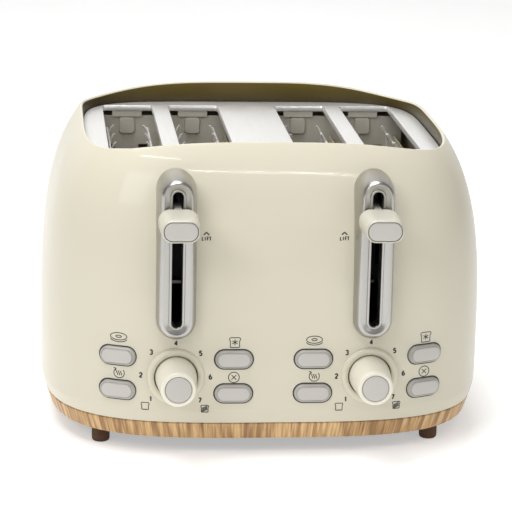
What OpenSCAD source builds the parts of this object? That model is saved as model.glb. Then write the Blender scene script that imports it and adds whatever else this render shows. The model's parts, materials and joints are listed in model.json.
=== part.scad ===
/* Four-slot pop up toaster with two independent controls.
   Front is -Y, right is +X, up is +Z. The origin is on the floor under the middle of the body. */

/* [Body] */
// Width of the shell at its widest line
body_w = 315; // [260:0.5:360]
// Depth of the shell at its widest line
body_d = 300; // [240:0.5:340]
// Height of the lower edge of the shell
shell_z = 25.5; // [20:0.5:35]
// Height of the widest line of the shell
wide_z = 34; // [26:0.5:60]
// Height from the widest line to where the dome would close
dome_rise = 211; // [150:0.5:260]
// Roundness of the dome seen from the front
dome_power = 3.6; // [2:0.05:5]
// Squareness of the plan at the bottom
plan_power = 3.45; // [2:0.05:6]
// Squareness of the plan at the top
plan_power_top = 3.9; // [2:0.05:6]
// Sheet thickness of the shell
shell_t = 1.2; // [0.6:0.1:3]

/* [Top opening] */
// Width of the opening
open_w = 252.5; // [220:0.5:300]
// Depth of the opening
open_d = 232; // [200:0.5:280]
// Squareness of the opening
open_power = 4.8; // [2:0.1:10]
// Height of the deck's top face
deck_z = 199.5; // [180:0.5:220]

/* [Bread slots] */
// Width of one bread slot
slot_w = 38; // [28:0.5:45]
// Length of one bread slot
slot_l = 160; // [120:1:180]
// Rear end of the bread slots
slot_back = 97; // [60:0.5:110]
// Distance of a slot pair's middle from the centre
pair_x = 66; // [50:0.5:80]
// Distance between the two slots of a pair
slot_pitch = 50.3; // [42:0.1:60]
// Height of the bread racks when raised
rack_z = 118; // [100:1:140]

/* [Levers] */
// Distance of a lever from the centre
lever_x = 67; // [50:0.1:80]
// Height of the lever's middle at rest
lever_z = 171; // [150:0.5:180]
// Lower end of the lever slot
lever_slot_lo = 96; // [85:0.5:110]
// Upper end of the lever slot
lever_slot_hi = 189.5; // [170:0.5:195]
// Width of the lever slot
lever_slot_w = 7; // [5:0.5:12]
// Width of the bezel around the lever slot
bezel_w = 27; // [16:0.5:34]
// Distance of the bezel's front face from the middle of the body
bezel_front = 158; // [152:0.5:165]
// Front face of the lever handle
handle_front = 193; // [175:0.5:205]
// Length of the lever handle
handle_l = 33; // [15:0.5:40]

/* [Dials] */
// Distance of a dial from the centre
dial_x = 66.4; // [50:0.1:80]
// Height of the dial's axis
dial_z = 59; // [50:0.5:75]
// Radius of the raised ring round the dial
dial_ring_r = 19.7; // [15:0.1:25]
// Radius of the knob at its back
knob_r = 14.2; // [10:0.1:20]
// Radius of the knob at its front
knob_front_r = 11.7; // [8:0.1:18]
// Front face of the knob
knob_front = 179; // [165:0.5:190]

/* [Buttons] */
// Sideways distance of a button from its dial
button_dx = 39.2; // [30:0.1:50]
// Height of the upper buttons
button_hi = 71.5; // [65:0.1:85]
// Height of the lower buttons
button_lo = 47.3; // [40:0.1:60]
// Width of a button
button_w = 25.6; // [15:0.1:35]
// Height of a button
button_h = 12.8; // [8:0.1:20]

/* [Base] */
// Lower edge of the wooden band
band_z = 13; // [8:0.5:20]
// How far the band tapers in at its lower edge
band_taper = 3.5; // [0:0.5:8]
// Radius of a foot
foot_r = 6.3; // [4:0.1:12]
// Sideways distance of a foot from the centre
foot_x = 116; // [90:0.5:130]
// Fore and aft distance of a foot from the centre
foot_y = 106; // [80:0.5:120]

/* [Display] */
// Which piece to draw

/* [Hidden] */
$fn = 48;
cream = [0.86, 0.84, 0.76];
silver = [0.74, 0.73, 0.72];
steel = [0.62, 0.62, 0.61];
wood_tone = [0.76, 0.62, 0.44];
brown = [0.30, 0.20, 0.14];
mica = [0.72, 0.66, 0.50];
board_green = [0.13, 0.36, 0.22];
dark = [0.12, 0.12, 0.13];
copper = [0.66, 0.36, 0.18];
half_w = body_w / 2;
half_d = body_d / 2;
waist = 0.055;
n_around = 120;
rise_steps = [0, 0.05, 0.16, 0.32, 0.47, 0.6, 0.7, 0.78, 0.85, 0.9, 0.94, 0.975, 1];
inner_steps = [0, 0.16, 0.47, 0.7, 0.85, 0.94, 1];
rim_roll = 2.2;
flange_z = deck_z - 6;
slot_mid = slot_back - slot_l / 2;
front_plate_y = slot_back - slot_l - 5;
rear_plate_y = slot_back + 2.6;
rod_y = front_plate_y - 17;
rod_dx = 16;
rod_r = 3;
carriage_lo = rack_z - 7;
guard_dx = 15.5;
guard_lo = 48;
guard_hi = 190;
wire_r = 0.9;
tray_z = 27;
tray_half = 44;
plate_t = 1.2;
board_y = -121;
knob_back = 143.5;
handle_back = handle_front - handle_l;
blade_y = 138;
gland_z = 52;

// ---- body surface ----

function clamp01(v) = max(0, min(1, v));

function plan_n(z) = plan_power + (plan_power_top - plan_power) * clamp01((z - shell_z) / (deck_z - shell_z));

function rise(z, off) =
    z > wide_z
        ? pow(max(0, 1 - pow((z - wide_z) / (dome_rise + off), dome_power)), 1 / dome_power)
        : 1 - waist * (wide_z - z) / wide_z;

function super_r(t, a, b, n) = 1 / pow(pow(abs(cos(t)) / a, n) + pow(abs(sin(t)) / b, n), 1 / n);

function body_r(t, z, off) = super_r(t, half_w + off, half_d + off, plan_n(z)) * rise(z, off);

function open_r(t, g) = super_r(t, open_w / 2 + g, open_d / 2 + g, open_power);

function meet_z(t, g, off, lo, hi, n) =
    let (mid = (lo + hi) / 2)
    n == 0 ? mid
    : body_r(t, mid, off) > open_r(t, g) ? meet_z(t, g, off, mid, hi, n - 1)
    : meet_z(t, g, off, lo, mid, n - 1);

function rim_z(t, g, off) = meet_z(t, g, off, 150, wide_z + dome_rise + off - 0.01, 22);

function front_y(x, z, off = 0) =
    let (s = rise(z, off), n = plan_n(z))
    -(half_d + off) * s * pow(1 - pow(abs(x) / ((half_w + off) * s), n), 1 / n);

function plan_angle(j) =
    let (u = 360 * j / n_around, c = cos(u), s = sin(u))
    atan2(half_d * sign(s) * pow(abs(s), 0.8), half_w * sign(c) * pow(abs(c), 0.8));

function polar(t, r, z) = [r * cos(t), r * sin(t), z];

function plan_ring(z, off) = [for (j = [0:n_around - 1])
    let (t = plan_angle(j)) body_r(t, z, off) * [cos(t), sin(t)]];

function open_ring(g) = [for (j = [0:n_around - 1])
    let (t = plan_angle(j)) open_r(t, g) * [cos(t), sin(t)]];

// One closed section of the shell at angle t, from the lower edge up, over the rim and back down
function shell_column(t) =
    let (top = rim_z(t, rim_roll, 0), inner_top = rim_z(t, rim_roll + 1.6, -shell_t))
    concat(
        [for (f = rise_steps) let (z = shell_z + (top - shell_z) * f) polar(t, body_r(t, z, 0), z)],
        [polar(t, open_r(t, rim_roll * 0.55), top + 0.25),
         polar(t, open_r(t, rim_roll * 0.15), top - 0.6),
         polar(t, open_r(t, 0), top - rim_roll),
         polar(t, open_r(t, 0), flange_z),
         polar(t, open_r(t, 1), flange_z),
         polar(t, open_r(t, 1), min(inner_top, top - rim_roll))],
        [for (i = [len(inner_steps) - 1:-1:0])
            let (z = shell_z + (inner_top - shell_z) * inner_steps[i])
            polar(t, body_r(t, z, -shell_t), z)]
    );

module wrap(columns) {
    n = len(columns);
    m = len(columns[0]);
    polyhedron(
        points = [for (c = columns) for (p = c) p],
        faces = [for (j = [0:n - 1]) for (i = [0:m - 1])
            let (k = (j + 1) % n, l = (i + 1) % m)
            for (f = [[j * m + i, j * m + l, k * m + i], [k * m + i, j * m + l, k * m + l]]) f],
        convexity = 10
    );
}

// Patch of the front surface between two growths of the body, closed on every side
module front_patch(x0, x1, z0, z1, off0, off1, step) {
    nx = ceil((x1 - x0) / step);
    nz = ceil((z1 - z0) / (1.6 * step));
    w = nx + 1;
    count = w * (nz + 1);
    xs = [for (j = [0:nx]) x0 + (x1 - x0) * j / nx];
    zs = [for (i = [0:nz]) z0 + (z1 - z0) * i / nz];
    outer = [for (z = zs) for (x = xs) [x, front_y(x, z) - off1, z]];
    inner = [for (z = zs) for (x = xs) [x, front_y(x, z) - off0, z]];
    polyhedron(
        points = concat(outer, inner),
        faces = concat(
            [for (i = [0:nz - 1]) for (j = [0:nx - 1])
                let (a = i * w + j, b = a + 1, c = a + w, d = c + 1)
                for (f = [[a, c, b], [b, c, d], [count + a, count + b, count + c],
                    [count + b, count + d, count + c]]) f],
            [for (j = [0:nx - 1]) for (f = [[j, j + 1, count + j], [j + 1, count + j + 1, count + j]]) f],
            [for (j = [0:nx - 1]) let (a = nz * w + j)
                for (f = [[a, count + a, a + 1], [a + 1, count + a, count + a + 1]]) f],
            [for (i = [0:nz - 1]) let (a = i * w)
                for (f = [[a, count + a, a + w], [a + w, count + a, count + a + w]]) f],
            [for (i = [0:nz - 1]) let (a = i * w + nx)
                for (f = [[a, a + w, count + a], [a + w, count + a + w, count + a]]) f]
        ),
        convexity = 4
    );
}

// ---- small helpers ----

module pill(w, h) {
    square([w - h, h], center = true);
    for (s = [-1, 1])
        translate([s * (w - h) / 2, 0]) circle(d = h);
}

// Upright pill seen from the front, from y0 to y1
module upright_pill(x, z0, z1, w, y0, y1) {
    translate([x, y1, (z0 + z1) / 2])
        rotate([90, 0, 0])
            linear_extrude(y1 - y0)
                rotate(90)
                    pill(z1 - z0, w);
}

// Flat pill whose axis runs from front to back, centred on the axis, from y0 to y1
module level_pill(w, h, y0, y1) {
    translate([0, y1, 0])
        rotate([90, 0, 0])
            linear_extrude(y1 - y0)
                pill(w, h);
}

// Rod along Y
module y_rod(x, z, r, y0, y1) {
    translate([x, y1, z]) rotate([90, 0, 0]) cylinder(r = r, h = y1 - y0);
}

module box(x0, x1, y0, y1, z0, z1) {
    translate([x0, y0, z0]) cube([x1 - x0, y1 - y0, z1 - z0]);
}

function button_tilt(x) =
    let (e = 2) atan((front_y(x + e, 60) - front_y(x - e, 60)) / (2 * e));

function slot_x(i) = (i < 2 ? -pair_x : pair_x) + (i % 2 == 0 ? -slot_pitch / 2 : slot_pitch / 2);

// ---- shell, deck and base ----

module housing_shell() {
    color(cream)
    difference() {
        wrap([for (j = [0:n_around - 1]) shell_column(plan_angle(j))]);
        for (s = [-1, 1]) {
            upright_pill(s * lever_x, lever_slot_lo - 1.8, lever_slot_hi + 1.8, lever_slot_w + 3.6, -160, -100);
            y_rod(s * dial_x, dial_z, knob_r + 0.7, -160, -120);
            for (x = [s * dial_x - button_dx, s * dial_x + button_dx])
                for (z = [button_lo, button_hi])
                    translate([x, front_y(x, z), z])
                        rotate([0, 0, button_tilt(x)])
                            level_pill(button_w + 1.2, button_h + 1.2, -12, 12);
            box(s * pair_x - tray_half - 1, s * pair_x + tray_half + 1, 110, 160, shell_z + 1, tray_z + 10);
        }
        y_rod(0, gland_z, 7.6, 120, 160);
    }
}

module top_deck() {
    color(silver)
    difference() {
        union() {
            translate([0, 0, deck_z - 1]) linear_extrude(1) polygon(open_ring(-0.7));
            for (i = [0:3])
                box(slot_x(i) - slot_w / 2 - 1, slot_x(i) + slot_w / 2 + 1,
                    slot_back - slot_l - 1, slot_back + 1, deck_z - 6, deck_z - 0.5);
        }
        for (i = [0:3])
            box(slot_x(i) - slot_w / 2, slot_x(i) + slot_w / 2, slot_back - slot_l, slot_back,
                deck_z - 10, deck_z + 10);
    }
}

module base_band() {
    top = plan_ring(shell_z, -0.4);
    low = plan_ring(shell_z, -0.4 - band_taper);
    core = plan_ring(shell_z, -13);
    lip = plan_ring(shell_z, -shell_t - 0.3);
    columns = [for (j = [0:n_around - 1]) [
        [low[j][0], low[j][1], band_z],
        [top[j][0], top[j][1], shell_z - 1.6],
        [top[j][0] * 0.998, top[j][1] * 0.998, shell_z - 0.5],
        [lip[j][0], lip[j][1], shell_z - 0.5],
        [lip[j][0], lip[j][1], shell_z + 0.8],
        [core[j][0], core[j][1], shell_z + 0.8],
        [core[j][0], core[j][1], band_z]]];
    color(wood_tone) wrap(columns);
}

module base_pan() {
    color(dark) {
        difference() {
            translate([0, 0, band_z]) linear_extrude(plate_t) polygon(plan_ring(shell_z, -13.2));
            for (x = [-100:20:100])
                for (y = [-60:30:90])
                    translate([x, y - 6, band_z - 1]) cube([3, 18, 4]);
            for (x = [-foot_x + 24, foot_x - 24])
                for (y = [-foot_y, foot_y])
                    translate([x, y, band_z - 1]) cylinder(r = 2.1, h = 4);
        }
        for (s = [-1, 1])
            for (e = [-tray_half - 1.4, tray_half + 0.2])
                box(s * pair_x + e, s * pair_x + e + 1.2, -56, 106, band_z + plate_t, tray_z + 4);
        for (s = [-1, 1])
            for (e = [-tray_half + 1, tray_half - 5])
                box(s * pair_x + e, s * pair_x + e + 4, -56, 106, band_z + plate_t, tray_z - 0.4);
    }
}

module feet() {
    color(brown)
    for (x = [-foot_x, foot_x])
        for (y = [-foot_y, foot_y])
            translate([x, y, 0]) {
                cylinder(r1 = foot_r - 0.8, r2 = foot_r, h = 1.2);
                translate([0, 0, 1.2]) cylinder(r = foot_r, h = band_z - 1.2);
            }
}

module base_screws() {
    color(steel)
    for (x = [-foot_x + 24, foot_x - 24])
        for (y = [-foot_y, foot_y])
            translate([x, y, 0]) {
                translate([0, 0, band_z - 2.2]) cylinder(r = 3.6, h = 2.2);
                translate([0, 0, band_z - 0.1]) cylinder(r = 1.9, h = 7);
            }
}

// ---- levers ----

// Hollow raised frame round the lever slot; its lip stands on an upright plane
module lever_bezel(s) {
    x = s * lever_x;
    lo = lever_slot_lo;
    hi = lever_slot_hi;
    grow = (bezel_w - lever_slot_w) / 2;
    edge = [[0, 6], [0.5, 3.6], [1.6, 1.8], [3.2, 1.1]];
    color(silver)
    difference() {
        union() {
            hull()
                for (e = edge)
                    upright_pill(x, lo - grow + e[0], hi + grow - e[0], bezel_w - 2 * e[0],
                        -bezel_front + e[1], -126, $fn = 32);
            upright_pill(x, lo - 1.7, hi + 1.7, lever_slot_w + 3.4, -bezel_front, -150);
        }
        difference() {
            union() {
                upright_pill(x, lo - grow + 1.6, hi + grow - 1.6, bezel_w - 3.2, -bezel_front + 4.5, -90);
                front_patch(x - 18, x + 18, lo - grow - 4, hi + grow + 4, -40, 0.1, 4);
            }
            upright_pill(x, lo - 1.5, hi + 1.5, lever_slot_w + 3, -180, -80);
        }
        upright_pill(x, lo, hi, lever_slot_w, -180, -90);
    }
}

module lever_block(w, h, y, t) {
    translate([0, y, 0])
        rotate([90, 0, 0])
            linear_extrude(t)
                offset(r = h * 0.36, $fn = 32)
                    square([w - h * 0.72, h - h * 0.72], center = true);
}

// Handle with the flat blade that passes through the lever slot
module lever_handle(s) {
    color(cream)
    translate([s * lever_x, 0, lever_z])
        difference() {
            union() {
                hull() {
                    lever_block(26.5, 16, -handle_back, 0.8);
                    lever_block(27.5, 17, -handle_back - 6, 0.5);
                    lever_block(25.4, 15.6, -handle_front + 1.6, 0.5);
                    lever_block(23.6, 13.9, -handle_front + 0.5, 0.5);
                }
                box(-2.8, 2.8, -handle_back - 1, -blade_y, -6, 7.4);
            }
            lever_block(22.5, 12.6, -handle_front + 2.6, 6);
            box(-1.8, 1.8, -handle_back - 6, -blade_y + 1, -3, 3);
        }
}

module lever_cap(s) {
    color(silver)
    translate([s * lever_x, 0, lever_z])
        lever_block(21.9, 12, -handle_front + 2.6, 2.8);
}

// Sliding plate with two bushings, the lever stem at the front and two rack arms at the back
module lift_carriage(s) {
    x = s * lever_x;
    z = lever_z;
    plate_y = rod_y - 6.2;
    arm = slot_pitch / 2 + 5;
    color(steel)
    difference() {
        union() {
            box(x - 9, x + 9, plate_y - 1.6, plate_y, carriage_lo, z + 6);
            box(x - rod_dx - 5, x + rod_dx + 5, plate_y - 1.6, plate_y, z - 20, z - 2);
            box(x - 1.75, x + 1.75, -handle_back - 5.5, plate_y - 0.8, z - 2.95, z + 2.95);
            for (e = [-rod_dx, rod_dx])
                translate([x + e, rod_y, z - 20]) cylinder(r = 5.4, h = 18);
            for (e = [-rod_dx, rod_dx])
                box(x + e - 5, x + e + 5, plate_y - 1, rod_y - 4, z - 20, z - 2);
            box(s * pair_x - arm, s * pair_x + arm, plate_y - 1.6, plate_y, carriage_lo, carriage_lo + 12);
            for (i = [-1, 1])
                box(s * pair_x + i * slot_pitch / 2 - 2.5, s * pair_x + i * slot_pitch / 2 + 2.5,
                    plate_y - 0.8, front_plate_y - 4, rack_z - 2.4, rack_z - 1);
        }
        for (e = [-rod_dx, rod_dx])
            translate([x + e, rod_y, z - 30]) cylinder(r = rod_r + 0.06, h = 60);
    }
}

// The two racks that a pair's bread stands on
module bread_rack(s) {
    first = front_plate_y - 12;
    last = slot_back - 4;
    color(steel)
    for (i = [-1, 1])
        translate([s * pair_x + i * slot_pitch / 2, 0, rack_z]) {
            box(-2.5, 2.5, first, last, -1, 0);
            for (y = [slot_back - slot_l + 8:16:last - 4]) {
                box(-11, 11, y - 1.2, y + 1.2, -0.9, 0.3);
                for (e = [-11, 9.8])
                    box(e, e + 1.2, y - 1.2, y + 1.2, -0.5, 4);
            }
        }
}

module latch_armature(s) {
    color(steel)
    box(s * lever_x - 8, s * lever_x + 8, rod_y - 13.6, rod_y - 7.9, carriage_lo + 0.4, carriage_lo + 2.4);
}

module latch_magnet(s) {
    top = carriage_lo - 65 - 0.2;
    color(copper)
    translate([s * lever_x, rod_y - 11, 0]) {
        translate([0, 0, band_z + plate_t]) cylinder(r = 3, h = top - band_z - plate_t);
        translate([0, 0, 22]) cylinder(r = 7, h = top - 24);
    }
}

// Closed coil of round wire, its axis upright
module coil(r, wire, z0, z1, turns) {
    per = 10;
    steps = turns * per;
    ring = 5;
    pts = [for (i = [0:steps])
        let (a = 360 * i / per, z = z0 + (z1 - z0) * i / steps)
        for (k = [0:ring - 1])
            let (b = 360 * k / ring, q = r + wire * cos(b))
            [q * cos(a), q * sin(a), z + wire * sin(b)]];
    polyhedron(
        points = pts,
        faces = concat(
            [for (i = [0:steps - 1]) for (k = [0:ring - 1])
                let (a = i * ring + k, b = i * ring + (k + 1) % ring, c = a + ring, d = b + ring)
                for (f = [[a, b, c], [b, d, c]]) f],
            [[for (k = [ring - 1:-1:0]) k]],
            [[for (k = [0:ring - 1]) steps * ring + k]]
        ),
        convexity = 10
    );
}

module lift_spring(s) {
    color(steel)
    translate([s * (lever_x - 31), rod_y - 7, 0])
        coil(3, 0.45, carriage_lo + 12.9, 186.2, 14);
}

// ---- dials ----

module around_dial(s) {
    translate([s * dial_x, 0, dial_z]) rotate([90, 0, 0]) children();
}

module dial_ring(s) {
    back = 130;
    crest = 151.2;
    color(cream)
    difference() {
        around_dial(s)
            rotate_extrude($fn = 96)
                union() {
                    polygon([[knob_r + 0.7, back], [dial_ring_r, back], [dial_ring_r, crest - 3],
                        [dial_ring_r - 0.5, crest - 1.6], [dial_ring_r - 1.6, crest - 0.5],
                        [dial_ring_r - 2.8, crest], [dial_ring_r - 3.8, crest - 0.4],
                        [knob_r + 1, crest - 1.8], [knob_r + 0.7, crest - 2.4]]);
                }
        front_patch(s * dial_x - 24, s * dial_x + 24, dial_z - 22, dial_z + 22, -30, 0.1, 4);
    }
}

module dial_knob(s) {
    color(cream)
    around_dial(s)
        rotate_extrude($fn = 96)
            polygon([[0, knob_back], [knob_r, knob_back], [knob_r, 149.5], [knob_r - 0.3, 152],
                [knob_front_r + 0.25, knob_front - 3], [knob_front_r - 0.1, knob_front - 1.6],
                [knob_front_r - 0.8, knob_front - 0.5], [knob_front_r - 1.9, knob_front],
                [9.2, knob_front], [9.2, knob_front - 2.2], [0, knob_front - 2.2]]);
}

module dial_cap(s) {
    color(silver)
    around_dial(s)
        rotate_extrude($fn = 96)
            polygon([[0, knob_front - 2.2], [8.8, knob_front - 2.2], [8.8, knob_front - 0.3],
                [8.4, knob_front + 0.1], [4, knob_front + 0.45], [0, knob_front + 0.5]]);
}

module dial_shaft(s) {
    color(steel) y_rod(s * dial_x, dial_z, 3, -knob_back, board_y - 1);
}

module dial_potentiometer(s) {
    color(dark)
    difference() {
        union() {
            box(s * dial_x - 8.5, s * dial_x + 8.5, board_y - 6, board_y, dial_z - 8.5, dial_z + 8.5);
            y_rod(s * dial_x, dial_z, 5, board_y - 11, board_y - 5);
        }
        y_rod(s * dial_x, dial_z, 3.06, board_y - 20, board_y - 0.8);
    }
}

// ---- buttons ----

module button(x, z) {
    color(silver)
    translate([x, front_y(x, z), z])
        rotate([0, 0, button_tilt(x)])
            difference() {
                union() {
                    hull() {
                        level_pill(button_w, button_h, -1.2, 1);
                        level_pill(button_w - 3.2, button_h - 3.2, -3, -2);
                    }
                    level_pill(button_w, button_h, 0.5, 6);
                    level_pill(5, 4, 5, 8.5);
                }
                difference() {
                    level_pill(button_w - 3.6, button_h - 3.6, -4, -2.6);
                    level_pill(button_w - 4.3, button_h - 4.3, -4, -2.6);
                }
            }
}

module control_board(s) {
    color(board_green) {
        box(s * pair_x - 47, s * pair_x + 47, board_y, board_y + 1.6, 38, 86);
        for (x = [s * dial_x - button_dx, s * dial_x + button_dx])
            for (z = [button_lo, button_hi])
                translate([x, 0, z]) {
                    box(-3, 3, front_y(x, z) + 11.8, board_y + 0.1, -3, 3);
                    box(-2, 2, board_y - 1, board_y + 3, -2, 2);
                }
        for (x = [-20, 20])
            box(s * pair_x + x - 3, s * pair_x + x + 3, board_y + 1.5, board_y + 12, 40, 48);
    }
}

// ---- inside ----

module guide_rods() {
    color(steel)
    for (s = [-1, 1])
        for (e = [-rod_dx, rod_dx])
            translate([s * lever_x + e, rod_y, band_z + plate_t])
                cylinder(r = rod_r, h = 187 - band_z - plate_t);
}

module plate_cutouts(y0, y1) {
    for (i = [0:3]) {
        box(slot_x(i) - 4, slot_x(i) + 4, y0, y1, rack_z - 65 - 6, rack_z + 9 + 8);
        for (e = [-guard_dx, guard_dx])
            y_rod(slot_x(i) + e, guard_lo, 1.5, y0, y1);
    }
}

module chassis_front_plate() {
    y = front_plate_y;
    color(steel) {
        difference() {
            box(-122, 122, y, y + plate_t, band_z + plate_t, deck_z - 8);
            plate_cutouts(y - 5, y + 5);
        }
        for (s = [-1, 1])
            box(s * lever_x - 36, s * lever_x + 36, rod_y - 11, y + 0.4, 187, 188.2);
    }
}

module chassis_rear_plate() {
    y = rear_plate_y;
    color(steel) {
        difference() {
            box(-122, 122, y, y + plate_t, band_z + plate_t, deck_z - 8);
            plate_cutouts(y - 5, y + 5);
            for (s = [-1, 1])
                box(s * pair_x - tray_half - 2.4, s * pair_x + tray_half + 2.4, y - 5, y + 5,
                    band_z, tray_z + 10);
            for (i = [0:3])
                for (e = [-12.5, 12.5])
                    box(slot_x(i) + e - 3.5, slot_x(i) + e + 3.5, y - 5, y + 5, 160, 169);
        }
        for (i = [0:3])
            translate([slot_x(i), y + 0.2, 184])
                rotate([90, 0, 0])
                    hull() {
                        linear_extrude(0.2) offset(r = 2.5, $fn = 32) square([7.4, 8.4], center = true);
                        linear_extrude(2.6) offset(r = 2, $fn = 32) square([6.6, 7.6], center = true);
                    }
    }
}

// Mica sheet with its heating wires, three to a pair of slots
module heater_boards() {
    color(mica)
    for (s = [-1, 1])
        for (i = [-1, 0, 1])
            translate([s * pair_x + i * slot_pitch, 0, 0]) {
                box(-0.6, 0.6, front_plate_y + plate_t + 0.3, rear_plate_y - 0.3, 50, 176);
                for (z = [60:14:172])
                    for (e = i == 0 ? [-1, 1] : [-i])
                        y_rod(e * 0.9, z, 0.5, front_plate_y + 12, rear_plate_y - 10);
            }
}

// Wire guard beside the bread; it leans in on its lower rod as the rack goes down
module bread_guard(i, e) {
    first = front_plate_y + 10;
    last = rear_plate_y - 8;
    hook_z = guard_hi - 1.3;
    color(silver)
    translate([slot_x(i), 0, 0])
        mirror([e < 0 ? 1 : 0, 0, 0])
            translate([guard_dx, 0, 0]) {
                y_rod(0, guard_lo, 1.2, front_plate_y - 2, rear_plate_y + 3);
                for (z = [80, 158])
                    y_rod(0, z, wire_r - 0.05, first, last);
                for (y = [first + 4:21:last]) {
                    translate([0, y, guard_lo]) cylinder(r = wire_r, h = guard_hi - guard_lo);
                    translate([0, y, hook_z]) rotate([0, -90, 0]) cylinder(r = wire_r - 0.06, h = 3.7);
                    translate([-3, y, hook_z - 8]) cylinder(r = wire_r - 0.12, h = 8);
                }
            }
}

module crumb_tray(s) {
    x = s * pair_x;
    t = 0.8;
    color(silver) {
        difference() {
            box(x - tray_half, x + tray_half, -54, 128, tray_z, tray_z + 8);
            box(x - tray_half + t, x + tray_half - t, -54 + t, 140, tray_z + t, tray_z + 20);
        }
        intersection() {
            box(x - tray_half, x + tray_half, 100, 170, tray_z, tray_z + 9);
            translate([0, 0, tray_z]) linear_extrude(9)
                difference() {
                    polygon(plan_ring(wide_z, 0));
                    polygon(plan_ring(wide_z, -1.6));
                }
        }
        intersection() {
            box(x - tray_half, x + tray_half, 120, 170, tray_z, tray_z + t);
            translate([0, 0, tray_z]) linear_extrude(t) polygon(plan_ring(wide_z, -0.5));
        }
        intersection() {
            box(x - 16, x + 16, 120, 170, tray_z, tray_z + 1.6);
            translate([0, 0, tray_z]) linear_extrude(1.6)
                difference() {
                    polygon(plan_ring(wide_z, 5));
                    polygon(plan_ring(wide_z, -1));
                }
        }
    }
}

module cord_gland() {
    color(dark)
    translate([0, 140, gland_z])
        rotate([-90, 0, 0])
            rotate_extrude()
                polygon([[3.6, 0], [9.5, 0], [9.5, 2.5], [7.3, 2.5], [7.3, 10.3], [10, 10.3],
                    [10, 12], [8.5, 13.2], [3.6, 13.2]]);
}

module terminal_block() {
    color([0.85, 0.85, 0.82])
    difference() {
        box(-16, 16, 114, 124, band_z + plate_t, band_z + 16);
        for (x = [-11, 0, 11])
            translate([x, 119, band_z + 8]) cylinder(r = 2.4, h = 12);
    }
}

// ---- one module per piece ----

module lever_bezel_left() { lever_bezel(-1); }
module lever_bezel_right() { lever_bezel(1); }
module lever_handle_left() { lever_handle(-1); }
module lever_handle_right() { lever_handle(1); }
module lever_cap_left() { lever_cap(-1); }
module lever_cap_right() { lever_cap(1); }
module lift_carriage_left() { lift_carriage(-1); }
module lift_carriage_right() { lift_carriage(1); }
module bread_rack_left() { bread_rack(-1); }
module bread_rack_right() { bread_rack(1); }
module latch_armature_left() { latch_armature(-1); }
module latch_armature_right() { latch_armature(1); }
module latch_magnet_left() { latch_magnet(-1); }
module latch_magnet_right() { latch_magnet(1); }
module lift_spring_left() { lift_spring(-1); }
module lift_spring_right() { lift_spring(1); }
module dial_ring_left() { dial_ring(-1); }
module dial_ring_right() { dial_ring(1); }
module dial_knob_left() { dial_knob(-1); }
module dial_knob_right() { dial_knob(1); }
module dial_cap_left() { dial_cap(-1); }
module dial_cap_right() { dial_cap(1); }
module dial_shaft_left() { dial_shaft(-1); }
module dial_shaft_right() { dial_shaft(1); }
module dial_potentiometer_left() { dial_potentiometer(-1); }
module dial_potentiometer_right() { dial_potentiometer(1); }
module button_bagel_left() { button(-dial_x - button_dx, button_hi); }
module button_reheat_left() { button(-dial_x - button_dx, button_lo); }
module button_defrost_left() { button(-dial_x + button_dx, button_hi); }
module button_cancel_left() { button(-dial_x + button_dx, button_lo); }
module button_bagel_right() { button(dial_x - button_dx, button_hi); }
module button_reheat_right() { button(dial_x - button_dx, button_lo); }
module button_defrost_right() { button(dial_x + button_dx, button_hi); }
module button_cancel_right() { button(dial_x + button_dx, button_lo); }
module control_board_left() { control_board(-1); }
module control_board_right() { control_board(1); }
module bread_guard_1() { bread_guard(0, -1); }
module bread_guard_2() { bread_guard(0, 1); }
module bread_guard_3() { bread_guard(1, -1); }
module bread_guard_4() { bread_guard(1, 1); }
module bread_guard_5() { bread_guard(2, -1); }
module bread_guard_6() { bread_guard(2, 1); }
module bread_guard_7() { bread_guard(3, -1); }
module bread_guard_8() { bread_guard(3, 1); }
module crumb_tray_left() { crumb_tray(-1); }
module crumb_tray_right() { crumb_tray(1); }

// ---- what is drawn ----

housing_shell();
top_deck();
base_band();
base_pan();
feet();
base_screws();
lever_bezel_left();
lever_bezel_right();
lever_handle_left();
lever_handle_right();
lever_cap_left();
lever_cap_right();
lift_carriage_left();
lift_carriage_right();
bread_rack_left();
bread_rack_right();
latch_armature_left();
latch_armature_right();
latch_magnet_left();
latch_magnet_right();
lift_spring_left();
lift_spring_right();
dial_ring_left();
dial_ring_right();
dial_knob_left();
dial_knob_right();
dial_cap_left();
dial_cap_right();
dial_shaft_left();
dial_shaft_right();
dial_potentiometer_left();
dial_potentiometer_right();
button_bagel_left();
button_reheat_left();
button_defrost_left();
button_cancel_left();
button_bagel_right();
button_reheat_right();
button_defrost_right();
button_cancel_right();
control_board_left();
control_board_right();
guide_rods();
chassis_front_plate();
chassis_rear_plate();
heater_boards();
bread_guard_1();
bread_guard_2();
bread_guard_3();
bread_guard_4();
bread_guard_5();
bread_guard_6();
bread_guard_7();
bread_guard_8();
crumb_tray_left();
crumb_tray_right();
cord_gland();
terminal_block();
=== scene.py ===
"""Four-slot pop up toaster: its looks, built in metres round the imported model.

The sizes in the first section are in millimetres and repeat the model's own driving sizes.
Every mesh is worked out in millimetres and scaled once, when its object is made.
"""
import json
import math

import bmesh
import bpy
from mathutils import Matrix, Vector


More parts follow.
